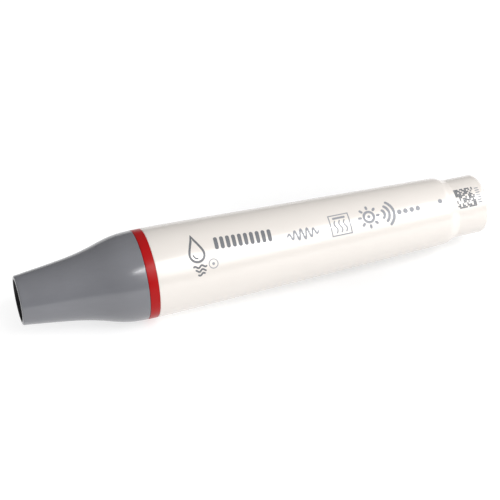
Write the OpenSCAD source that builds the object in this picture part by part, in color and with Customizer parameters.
// Detachable ultrasonic scaler handpiece with a lit nose.
// Stations are distances behind the nose tip. The origin is the centre of the tail socket's mouth,
// +X runs out of the tail towards the cord, and the nose points along -X.
// A clock angle turns from the top (+Z) towards the marked side (-Y).

/* [Outline] */
// Overall length, nose tip to tail end
overall_l = 109.7; // [108:0.1:112]
// Largest diameter, at the colour ring
grip_d = 20; // [19.8:0.1:20.4]
// Casing diameter where the rear shoulder starts
rear_d = 15.73; // [15.6:0.01:16]
// Diameter of the tail behind the shoulder
tail_d = 13.7; // [13.5:0.1:13.8]
// Outer diameter of the nose lip
lip_d = 10.9; // [10.7:0.1:11.2]
// Length of the nose cone
nose_l = 26.8; // [26.4:0.1:27]
// Width of the colour ring
ring_w = 2.2; // [1.8:0.1:2.4]
// Length of the bare tail
tail_l = 7.7; // [7.4:0.1:8]
// Wall of the casing
casing_wall = 1.3; // [1.1:0.05:1.35]

/* [Front end] */
// Thread diameter of the stud that the tip screws on
stud_d = 3; // [2.8:0.1:3]
// Station of the stud's front end
stud_front = 2; // [1.8:0.1:2.2]
// Length of the stud
stud_l = 4.5; // [4.2:0.1:4.8]
// Diameter of the opening in the nose
mouth_d = 9.2; // [9:0.1:9.4]
// Outer diameter of the threaded collar that the nose screws on
collar_d = 15; // [14.8:0.1:15]
// Number of lamps on the lamp board
lamp_count = 6; // [4:1:8]

/* [Transducer] */
// Diameter of the piezo ceramic rings
piezo_d = 10; // [9.6:0.1:10]
// Bore of the piezo ceramic rings
piezo_bore = 5.2; // [5.2:0.1:5.4]
// Thickness of one piezo ceramic ring
piezo_t = 2.2; // [2:0.1:2.3]
// Thickness of one electrode
electrode_t = 0.2; // [0.15:0.05:0.3]
// Diameter of the prestress bolt
bolt_d = 4; // [3.8:0.1:4]

/* [Tail socket] */
// Bore of the socket that takes the cord's plug
socket_d = 11.1; // [11:0.1:11.2]
// Depth of the socket
socket_depth = 7.6; // [7.4:0.1:7.8]
// Bore of the water port
port_d = 2.5; // [2.4:0.1:2.6]
// Bore of one electrical contact
contact_d = 1; // [0.9:0.1:1]
// Diameter of the circle of contacts
contact_circle_d = 7.2; // [7:0.1:7.4]
// Clock angle of the keyway and the alignment dot
key_clock = 36; // [30:1:42]

/* [Hidden] */

$fn = 96;
cut = 0.1;                    // how far a cutter runs past a face
bond = 0.03;                  // bond line between two pieces of one assembly
moving_gap = 0.3;             // gap between pieces that draw apart
step_back = 0.1;              // small step that keeps neighbouring faces apart
slot_w = 1;                   // driver slots in the retaining rings
slot_l = 3;
slot_depth = 0.8;

grip_r = grip_d / 2;
rear_r = rear_d / 2;
tail_r = tail_d / 2;
lip_r = lip_d / 2;
mouth_r = mouth_d / 2;
collar_r = collar_d / 2;

// outside of the nose: [share of the nose's length, share of the rise from lip to grip, slope]
lip_round = 0.35;
nose_flare = [[0, 0, 0.13], [0.371, 0.283, 0.143], [0.679, 0.682, 0.315], [0.824, 0.91, 0.195], [1, 1, 0.02]];

// outside of the casing and its shoulder
crown_l = 6.2;
crown_drop = 0.107;
shoulder_l = 3.6;
shoulder_rear_l = 1.7;
shoulder_drop = 0.315;
shoulder_slope = -0.47;
casing_end_slope = -0.22;
casing_end_step = 0.08;

// stations and radii of the outer skin
ring_front = nose_l;
casing_front = nose_l + ring_w;
crown_end = casing_front + crown_l;
casing_end = overall_l - tail_l;
shoulder_front = casing_end - shoulder_l;
shoulder_mid = casing_end - shoulder_rear_l;
crown_r = grip_r - crown_drop;
taper = (rear_r - crown_r) / (shoulder_front - crown_end);
shoulder_mid_r = rear_r - shoulder_drop;
casing_end_r = tail_r + casing_end_step;
tail_round = 1.1;
tail_rim_rise = 0.45;
tail_insert_r = tail_r - 0.25;
casing_inside_l = [8, 6];     // how far the casing's bore keeps clear of its front and rear ends
casing_lip = 0.25;            // extra wall behind the front step of the casing
ring_edge = 0.15;

// nose cavity and its thread
cavity_r = 6.4;
cavity_front = 3;
cavity_full = 15.5;
thread_front = 19.6;
thread_gap = 0.1;
seal_tube_r = 0.45;

// lamp unit
guide_front = 3;
guide_rear = 17;
guide_flange_l = 1.8;
guide_bore = 5.6;
guide_mouth_gap = 0.4;
guide_edge = 0.3;
guide_lip_l = 0.5;
lamp_h = 0.8;
lamp_size = 1.5;
board_t = 1;
carrier_t = 1.6;
board_front = guide_rear + step_back + lamp_h;
carrier_front = board_front + board_t;
carrier_rear = carrier_front + carrier_t;
carrier_r = 6;
lamp_circle_r = 4.4;
pin_r = 0.3;
pin_circle_r = 4.6;
pin_l = 3.2;
pin_gap = 0.06;
spring_wall = 0.25;           // wall of the sprung sleeves that take the pins
spring_tail = 4.6;            // from a sleeve's mouth to the end of its solder tail

// housing
collar_front = 20.9;
collar_bore_r = 6.2;
collar_edge = 0.4;
seat_r = 8.2;
spigot_r = 8.6;
spigot_rear = 36;
pocket_r = 6.6;
pocket_rear = 43;
waist_r = 7.7;
waist_rear = 45;
barrel_r = 6.5;
barrel_bore_r = 5.8;
barrel_rear = 84;
lamp_socket_front = collar_front + step_back;
lamp_socket_rear = 24.5;
lamp_socket_bore_r = 3;
window = [28.9, 33.8];
lead_groove_r = 7.1;
lead_groove_w = 1;

// horn
water_r = 0.5;
stud_r = stud_d / 2;
stud_rear = stud_front + stud_l;
stud_chamfer = 0.3;
horn_seat_r = 2.6;
horn_seat_l = 0.9;
neck_r = 2.4;
neck_rear = 26;
horn_wide = 35;
horn_r = 4.6;
flange_front = 38;
flange_t = 2;
flange_r = 6.3;
horn_rear = 48;
bolt_front = 44;
o_ring_r = 0.75;
neck_o_ring_r = 0.6;
retainer_t = 2.5;

// transducer stack
pitch = piezo_t + electrode_t;
stack_rear = horn_rear + 4 * pitch;
piezo_r = piezo_d / 2;
bolt_r = bolt_d / 2;
back_mass_l = 18.4;
back_mass_rear = stack_rear + back_mass_l;
bolt_head_r = 3.4;
bolt_head_l = 3.4;
bolt_nipple_r = 1;
bolt_nipple_l = 4.4;
damper_station = 70;
tab_w = 1.6;
tab_reach = 5.13;
tab_root = 0.4;               // overlap of an electrode's tab with its ring

// tail and connector
socket_r = socket_d / 2;
socket_floor = overall_l - socket_depth;
key_w = 1.8;
key_r = socket_r + 0.55;
groove_r = 6.1;
groove = [socket_floor + step_back, socket_floor + 1];
lip_front = groove[0] - 0.5;  // the lip that the connector block sits against
lip_bore_r = 5.3;
sleeve_front = socket_floor - 7.8;
block_r = 5.75;
block_front = sleeve_front + 1.5;
socket_o_ring_r = 0.42;
port_r = port_d / 2;
port_l = 4;
port_groove_r = 1.8;
port_groove_l = 1.2;
tube_r = 1.7;
contact_r = contact_d / 2;
contact_wall = 0.35;
contact_l = 6;
contact_depth = 4.6;
solder_pin_r = 0.4;
contact_clocks = [for (i = [0:3]) key_clock + 45 + 90 * i];
live_clock = contact_clocks[0];
ground_clock = contact_clocks[2];
lamp_clocks = [contact_clocks[1], contact_clocks[3]];

// leads, as [station, distance from the axis]
lead_r = 0.25;
lamp_lead_r = 0.2;
stack_lead_r = 5.4;
lead_bend_l = 5;              // length over which a lead closes in behind the barrel
lead_lift = 0.1;              // how far the leads lie off the walls
solder_station = block_front - 0.8;
contact_circle_r = contact_circle_d / 2;

ivory = [0.93, 0.91, 0.87];
grey = [0.46, 0.47, 0.49];
red = [0.72, 0.1, 0.11];
titanium = [0.62, 0.61, 0.6];
steel = [0.72, 0.73, 0.75];
gold = [0.83, 0.66, 0.3];
ceramic = [0.78, 0.74, 0.62];
rubber = [0.12, 0.12, 0.13];

// turns the lathe axis into the handpiece's own axis
module along_axis() {
    translate([-overall_l, 0, 0])
        rotate([0, 90, 0])
            children();
}

// puts a child drawn at +X of the lathe frame at a clock angle
module at_clock(clock) {
    rotate([0, 0, 180 + clock])
        children();
}

// a turned solid from an outline of [station, radius] points
module turned(outline) {
    rotate_extrude()
        polygon([for (p = outline) [p[1], p[0]]]);
}

module ring(front, rear, r_out, r_in) {
    turned([[front, r_in], [rear, r_in], [rear, r_out], [front, r_out]]);
}

module disc(front, rear, r) {
    translate([0, 0, front])
        cylinder(h = rear - front, r = r);
}

module o_ring(station, centre_r, section_r) {
    translate([0, 0, station])
        rotate_extrude()
            translate([centre_r, 0])
                circle(r = section_r, $fn = 48);
}

// a smooth span between two knots [station, radius, slope], without its last point
function span(a, b, n) = [for (i = [0:n - 1])
    let (t = i / n, h = b[0] - a[0], t2 = t * t, t3 = t2 * t)
        [a[0] + h * t, (2 * t3 - 3 * t2 + 1) * a[1] + (t3 - 2 * t2 + t) * h * a[2]
            + (3 * t2 - 2 * t3) * b[1] + (t3 - t2) * h * b[2]]];

// an arc of [station, radius] points about a centre, from one angle to another
function arc(station, r, size, from, to, n) = [for (i = [0:n])
    let (a = from + (to - from) * i / n) [station + size * cos(a), r + size * sin(a)]];

// points of a smooth curve through a route of [station, radius] points
function smooth(route, n) = concat(
    [for (i = [0:len(route) - 2])
        let (last = len(route) - 1, a = route[i], b = route[i + 1],
            ta = (b - route[max(i - 1, 0)]) / (i == 0 ? 1 : 2),
            tb = (route[min(i + 2, last)] - a) / (i + 1 == last ? 1 : 2),
            ease = min(1, norm(b - a) / max(norm(ta), norm(tb))))
        each [for (k = [0:n - 1])
            let (t = k / n, t2 = t * t, t3 = t2 * t)
                (2 * t3 - 3 * t2 + 1) * a + (t3 - 2 * t2 + t) * ease * ta
                    + (3 * t2 - 2 * t3) * b + (t3 - t2) * ease * tb]],
    [route[len(route) - 1]]);

// a round wire whose route lies in one clock plane
module wire(route, r, clock) {
    sides = 8;
    path = smooth(route, 4);
    last = len(path) - 1;
    points = [for (i = [0:last])
        let (d = path[min(i + 1, last)] - path[max(i - 1, 0)], u = d / norm(d))
            each [for (k = [0:sides - 1])
                let (a = 360 * k / sides)
                    [path[i][1] + r * cos(a) * u[0], r * sin(a), path[i][0] - r * cos(a) * u[1]]]];
    walls = [for (i = [0:last - 1]) each [for (k = [0:sides - 1])
        let (n = (k + 1) % sides)
            [i * sides + k, (i + 1) * sides + k, (i + 1) * sides + n, i * sides + n]]];
    at_clock(clock)
        polyhedron(points, concat(walls, [[for (k = [0:sides - 1]) k]],
            [[for (k = [sides - 1:-1:0]) last * sides + k]]));
}

// ---- outer skin ----

nose_knots = [for (k = nose_flare)
    [lip_round + (nose_l - lip_round) * k[0], lip_r + (grip_r - lip_r) * k[1], k[2]]];

module nose_cone() {
    color(grey)
        along_axis()
            turned(concat(
                [[nose_l, collar_r + thread_gap], [thread_front, collar_r + thread_gap],
                    [thread_front, cavity_r], [cavity_full, cavity_r], [cavity_front, mouth_r], [0, mouth_r]],
                arc(lip_round, lip_r - lip_round, lip_round, 180, 90, 5),
                [for (i = [0:len(nose_knots) - 2]) each span(nose_knots[i], nose_knots[i + 1], 8)],
                [[nose_l, grip_r]]));
}

module nose_seal() {
    color(rubber)
        along_axis()
            o_ring(thread_front + seal_tube_r + 0.05, collar_r - seal_tube_r, seal_tube_r);
}

module colour_ring() {
    color(red)
        along_axis()
            turned([[ring_front, seat_r + moving_gap], [casing_front, seat_r + moving_gap],
                [casing_front, grip_r - ring_edge], [casing_front - ring_edge, grip_r],
                [ring_front + ring_edge, grip_r], [ring_front, grip_r - ring_edge]]);
}

casing_knots = [[casing_front, grip_r, 0], [crown_end, crown_r, taper], [shoulder_front, rear_r, taper],
    [shoulder_mid, shoulder_mid_r, shoulder_slope], [casing_end, casing_end_r, casing_end_slope]];

module main_casing() {
    inside_front = casing_front + casing_inside_l[0];
    inside_rear = casing_end - casing_inside_l[1];
    color(ivory)
        along_axis()
            turned(concat(
                [[casing_end, tail_insert_r + bond], [inside_rear, tail_insert_r + bond],
                    [inside_front, grip_r - casing_wall - casing_lip], [inside_front, spigot_r + bond],
                    [casing_front, spigot_r + bond]],
                span(casing_knots[0], casing_knots[1], 8),
                span(casing_knots[1], casing_knots[2], 1),
                span(casing_knots[2], casing_knots[3], 8),
                span(casing_knots[3], casing_knots[4], 6),
                [[casing_end, casing_end_r]]));
}

module tail_sleeve() {
    color(ivory)
        along_axis()
            difference() {
                turned(concat(
                    [[overall_l, socket_r], [groove[1], socket_r], [groove[1], groove_r],
                        [groove[0], groove_r], [groove[0], lip_bore_r], [lip_front, lip_bore_r],
                        [lip_front, block_r + bond], [sleeve_front, block_r + bond],
                        [sleeve_front, tail_insert_r], [casing_end, tail_insert_r], [casing_end, tail_r]],
                    arc(overall_l - tail_round, tail_r - tail_round, tail_round, 90, 30, 6),
                    [[overall_l, tail_r - tail_round + tail_rim_rise]]));
                keyway();
            }
}

module keyway() {
    at_clock(key_clock)
        translate([socket_r - 1, -key_w / 2, groove[1]])
            cube([key_r - socket_r + 1, key_w, socket_depth]);
}

// ---- lamp unit ----

module light_guide() {
    front_r = mouth_r - guide_mouth_gap;
    flange_at = guide_rear - guide_flange_l;
    color([0.8, 0.87, 0.9, 0.5])
        along_axis()
            turned([[guide_front, guide_bore / 2], [guide_rear, guide_bore / 2], [guide_rear, carrier_r],
                [flange_at, carrier_r], [flange_at, carrier_r - guide_mouth_gap],
                [guide_front + guide_lip_l, front_r], [guide_front, front_r - guide_edge]]);
}

module lamp_board() {
    color([0.9, 0.92, 0.9])
        along_axis()
            ring(board_front, board_front + board_t - bond, carrier_r - guide_edge, guide_bore / 2);
}

module lamps() {
    color([0.95, 0.85, 0.35])
        along_axis()
            for (i = [0:lamp_count - 1])
                at_clock(lamp_clocks[0] + 360 / lamp_count * (i + 0.5))
                    translate([lamp_circle_r - lamp_size / 2, -lamp_size / 2, board_front - lamp_h])
                        cube([lamp_size, lamp_size, lamp_h - bond]);
}

module lamp_carrier() {
    color([0.85, 0.84, 0.8])
        along_axis()
            difference() {
                ring(carrier_front, carrier_rear, carrier_r, guide_bore / 2);
                for (clock = lamp_clocks)
                    at_clock(clock)
                        translate([pin_circle_r, 0, carrier_front - cut])
                            cylinder(h = carrier_t + 2 * cut, r = pin_r + bond);
            }
}

module lamp_pins() {
    color(gold)
        along_axis()
            for (clock = lamp_clocks)
                at_clock(clock)
                    translate([pin_circle_r, 0, carrier_front])
                        cylinder(h = carrier_t + pin_l, r = pin_r);
}

module lamp_socket() {
    sleeve_r = pin_r + pin_gap + spring_wall;
    color([0.2, 0.2, 0.21])
        along_axis()
            difference() {
                ring(lamp_socket_front, lamp_socket_rear, collar_bore_r - bond, lamp_socket_bore_r);
                for (clock = lamp_clocks)
                    at_clock(clock)
                        translate([pin_circle_r, 0, lamp_socket_front - cut])
                            cylinder(h = lamp_socket_rear - lamp_socket_front + 2 * cut, r = sleeve_r + bond);
            }
}

module lamp_contacts() {
    bore_r = pin_r + pin_gap;
    sleeve_l = lamp_socket_rear - lamp_socket_front;
    color(gold)
        along_axis()
            for (clock = lamp_clocks)
                at_clock(clock)
                    translate([pin_circle_r, 0, lamp_socket_front])
                        turned([[0, bore_r], [pin_l, bore_r], [pin_l, 0], [spring_tail, 0],
                            [spring_tail, lamp_lead_r], [sleeve_l, lamp_lead_r],
                            [sleeve_l, bore_r + spring_wall], [0, bore_r + spring_wall]]);
}

// ---- transducer ----

module transducer_housing() {
    color([0.25, 0.25, 0.27])
        along_axis()
            difference() {
                turned([[collar_front, collar_bore_r], [nose_l, collar_bore_r], [nose_l, pocket_r],
                    [pocket_rear, pocket_r], [pocket_rear, barrel_bore_r], [barrel_rear, barrel_bore_r],
                    [barrel_rear, barrel_r], [waist_rear, barrel_r], [waist_rear, waist_r],
                    [spigot_rear, waist_r], [spigot_rear, spigot_r], [casing_front, spigot_r],
                    [casing_front, seat_r], [ring_front, seat_r], [ring_front, collar_r],
                    [collar_front + collar_edge, collar_r], [collar_front, collar_r - collar_edge]]);
                for (clock = lamp_clocks)
                    at_clock(clock)
                        lead_way();
            }
}

// the window and outside groove that bring a lamp lead out of the housing
module lead_way() {
    translate([pocket_r - 1, -lead_groove_w / 2, window[0]])
        cube([spigot_r, lead_groove_w, window[1] - window[0]]);
    translate([lead_groove_r, -lead_groove_w / 2, window[0]])
        cube([spigot_r, lead_groove_w, waist_rear - window[0] + cut]);
}

// radius of the horn as it widens, a half cosine from neck to body
function horn_flare(t) = neck_r + (horn_r - neck_r) * (1 - cos(180 * t)) / 2;

module horn() {
    steps = 12;
    color(titanium)
        along_axis()
            difference() {
                turned(concat(
                    [[stud_front, 0], [stud_front, stud_r - stud_chamfer],
                        [stud_front + stud_chamfer, stud_r], [stud_rear, stud_r], [stud_rear, horn_seat_r],
                        [stud_rear + horn_seat_l, horn_seat_r], [stud_rear + horn_seat_l, neck_r]],
                    [for (i = [0:steps])
                        [neck_rear + (horn_wide - neck_rear) * i / steps, horn_flare(i / steps)]],
                    [[flange_front, horn_r], [flange_front, flange_r], [flange_front + flange_t, flange_r],
                        [flange_front + flange_t, piezo_r], [horn_rear, piezo_r], [horn_rear, 0]]));
                disc(stud_front - cut, bolt_front + cut, water_r);
                disc(bolt_front, horn_rear + cut, bolt_r + bond);
            }
}

module neck_o_ring() {
    color(rubber)
        along_axis()
            o_ring(lamp_socket_rear + neck_o_ring_r + bond, neck_r + neck_o_ring_r + bond, neck_o_ring_r);
}

module flange_o_ring(station) {
    color(rubber)
        along_axis()
            o_ring(station, pocket_r - o_ring_r - bond, o_ring_r);
}

module flange_retainer() {
    rear = flange_front - 2 * o_ring_r - 2 * bond;
    color(steel)
        along_axis()
            difference() {
                ring(rear - retainer_t, rear, pocket_r - bond, horn_r + moving_gap + step_back);
                for (clock = [0, 180])
                    at_clock(clock)
                        driver_slot(horn_r, rear - retainer_t);
            }
}

// a slot across the front of a retaining ring
module driver_slot(from_r, front) {
    translate([from_r, -slot_w / 2, front - cut])
        cube([slot_l, slot_w, slot_depth + cut]);
}

module piezo_ring(index) {
    front = horn_rear + pitch * index;
    color(ceramic)
        along_axis()
            ring(front, front + piezo_t, piezo_r, piezo_bore / 2);
}

module electrode(index) {
    front = horn_rear + pitch * index + piezo_t;
    clock = index % 2 == 0 ? live_clock : ground_clock;
    color(gold)
        along_axis() {
            ring(front, front + electrode_t, piezo_r, piezo_bore / 2);
            at_clock(clock)
                translate([piezo_r - tab_root, -tab_w / 2, front])
                    cube([tab_reach - piezo_r + tab_root, tab_w, electrode_t]);
        }
}

module insulating_sleeve() {
    color([0.9, 0.9, 0.86])
        along_axis()
            ring(horn_rear + bond, stack_rear - bond, piezo_bore / 2 - bond, bolt_r + bond);
}

module back_mass() {
    color(steel)
        along_axis()
            ring(stack_rear, back_mass_rear, piezo_r, bolt_r + bond);
}

module damper_ring() {
    section_r = (barrel_bore_r - piezo_r) / 2 - bond;
    color(rubber)
        along_axis()
            difference() {
                o_ring(damper_station, (barrel_bore_r + piezo_r) / 2, section_r);
                for (clock = [live_clock, ground_clock])
                    at_clock(clock)
                        translate([stack_lead_r, 0, damper_station - section_r - cut])
                            cylinder(h = 2 * (section_r + cut), r = lead_r + 2 * bond);
            }
}

module prestress_bolt() {
    head_rear = back_mass_rear + bolt_head_l;
    merge = 0.5;
    color(steel)
        along_axis()
            difference() {
                union() {
                    disc(bolt_front + bond, back_mass_rear + merge, bolt_r);
                    translate([0, 0, back_mass_rear])
                        cylinder(h = bolt_head_l, r = bolt_head_r, $fn = 6);
                    disc(head_rear - merge, head_rear + bolt_nipple_l, bolt_nipple_r);
                }
                disc(bolt_front - cut, head_rear + bolt_nipple_l + cut, water_r);
            }
}

module water_tube() {
    front = back_mass_rear + bolt_head_l + bond;
    rear = socket_floor - port_l - port_groove_l - bond;
    color([0.75, 0.78, 0.8])
        along_axis()
            ring(front, rear, tube_r, bolt_nipple_r + bond);
}

module stack_lead(front, clock, colour) {
    color(colour)
        along_axis()
            wire([[front, stack_lead_r], [barrel_rear - 3, stack_lead_r],
                [barrel_rear, stack_lead_r - lead_lift], [barrel_rear + lead_bend_l, contact_circle_r],
                [solder_station, contact_circle_r]], lead_r, clock);
}

module lamp_leads() {
    start = lamp_socket_front + spring_tail + bond;
    out_r = lead_groove_r + lamp_lead_r + lead_lift;
    barrel_side = barrel_r + lamp_lead_r + lead_lift;
    route = [[start, pin_circle_r], [window[0] - 0.5, pin_circle_r + 0.7], [window[0] + 1.9, pocket_r - 0.2],
        [window[1] - 0.9, out_r], [waist_rear + 1, out_r], [waist_rear + 6, barrel_side],
        [barrel_rear - 3, barrel_side], [barrel_rear, barrel_side - lead_lift],
        [barrel_rear + lead_bend_l, contact_circle_r], [solder_station, contact_circle_r]];
    color([0.85, 0.8, 0.3])
        along_axis()
            for (clock = lamp_clocks)
                wire(route, lamp_lead_r, clock);
}

// ---- connector ----

module connector_block() {
    groove_front = socket_floor - port_l - port_groove_l;
    well_r = contact_r + contact_wall + bond;
    color([0.16, 0.16, 0.17])
        along_axis()
            difference() {
                union() {
                    disc(block_front, lip_front - bond, block_r);
                    disc(block_front, socket_floor, lip_bore_r - bond);
                }
                disc(block_front - cut, groove_front, tube_r + bond);
                disc(groove_front - bond, socket_floor - port_l, port_groove_r);
                disc(groove_front, socket_floor + cut, port_r);
                for (clock = contact_clocks)
                    at_clock(clock)
                        translate([contact_circle_r, 0, block_front - cut])
                            cylinder(h = socket_floor - block_front + 2 * cut, r = well_r);
            }
}

module connector_retainer() {
    color(steel)
        along_axis()
            difference() {
                ring(sleeve_front, block_front - bond, block_r, contact_circle_r + 1);
                for (clock = [key_clock, key_clock + 180])
                    at_clock(clock)
                        driver_slot(contact_circle_r, sleeve_front);
            }
}

module contact_sleeves() {
    wall_r = contact_r + contact_wall;
    color(gold)
        along_axis()
            for (clock = contact_clocks)
                at_clock(clock)
                    translate([contact_circle_r, 0, socket_floor])
                        turned([[0, contact_r], [-contact_depth, contact_r], [-contact_depth, 0],
                            [solder_station - socket_floor + bond, 0],
                            [solder_station - socket_floor + bond, solder_pin_r],
                            [-contact_l, solder_pin_r], [-contact_l, wall_r], [0, wall_r]]);
}

module socket_o_ring() {
    color(rubber)
        along_axis()
            o_ring((groove[0] + groove[1]) / 2, groove_r - socket_o_ring_r - bond, socket_o_ring_r);
}

module port_o_ring() {
    section_r = port_groove_l / 2 - bond;
    color(rubber)
        along_axis()
            o_ring(socket_floor - port_l - port_groove_l / 2, port_groove_r - section_r - bond, section_r);
}

nose_cone();
nose_seal();
colour_ring();
light_guide();
lamp_board();
lamps();
lamp_carrier();
lamp_pins();
lamp_socket();
lamp_contacts();
main_casing();
transducer_housing();
tail_sleeve();
horn();
neck_o_ring();
flange_o_ring(flange_front - o_ring_r - bond);  // flange_o_ring_front
flange_o_ring(flange_front + flange_t + o_ring_r + bond);  // flange_o_ring_rear
flange_retainer();
piezo_ring(0);  // piezo_ring_1
piezo_ring(1);  // piezo_ring_2
piezo_ring(2);  // piezo_ring_3
piezo_ring(3);  // piezo_ring_4
electrode(0);  // electrode_1
electrode(1);  // electrode_2
electrode(2);  // electrode_3
electrode(3);  // electrode_4
insulating_sleeve();
back_mass();
damper_ring();
prestress_bolt();
water_tube();
stack_lead(horn_rear + piezo_t, live_clock, red);  // live_lead
stack_lead(horn_rear + pitch + piezo_t, ground_clock, rubber);  // ground_lead
lamp_leads();
connector_block();
connector_retainer();
contact_sleeves();
socket_o_ring();
port_o_ring();
